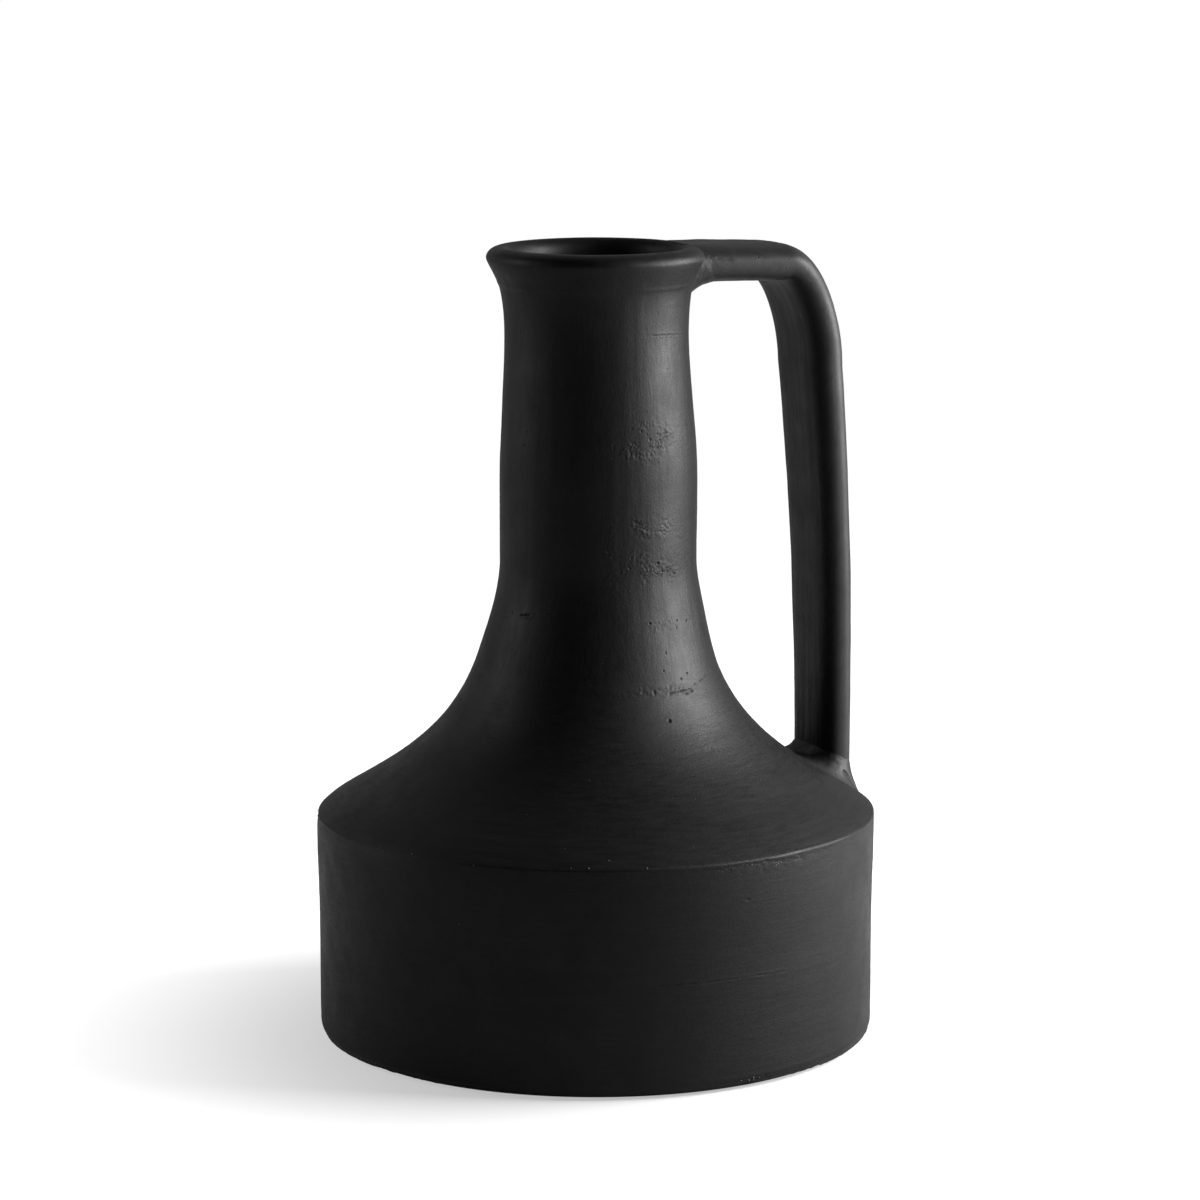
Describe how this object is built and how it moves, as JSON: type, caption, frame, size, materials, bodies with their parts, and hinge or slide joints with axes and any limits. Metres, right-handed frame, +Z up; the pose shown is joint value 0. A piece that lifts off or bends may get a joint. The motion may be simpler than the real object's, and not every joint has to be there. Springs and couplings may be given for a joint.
{
  "type": "ceramic vase",
  "caption": "Matt black earthenware vase with a broad straight drum, a creased shoulder, a tall narrow neck with a rolled rim, and one pulled strap handle.",
  "frame": {"origin": "on the body's axis, at the middle of the base where it stands on the ground", "axes": "+Z up along the body's axis, +X towards the handle"},
  "size_m": [0.228, 0.228, 0.322],
  "materials": {
    "black_slip": "matt black slip over earthenware, burnished by hand to a soft sheen, unglazed",
    "bare_clay": "smoothed black earthenware inside the vessel, unglazed"
  },
  "bodies": {
    "root": {"base_slab": "black_slip", "floor_coil": "bare_clay", "drum_wall": "black_slip", "crease_coil": "bare_clay", "shoulder": "black_slip", "neck_root": "black_slip", "mid_neck": "black_slip", "upper_neck": "black_slip", "rim": "black_slip", "handle": "black_slip", "upper_wad": "black_slip", "lower_wad": "black_slip"}
  },
  "joints": []
}
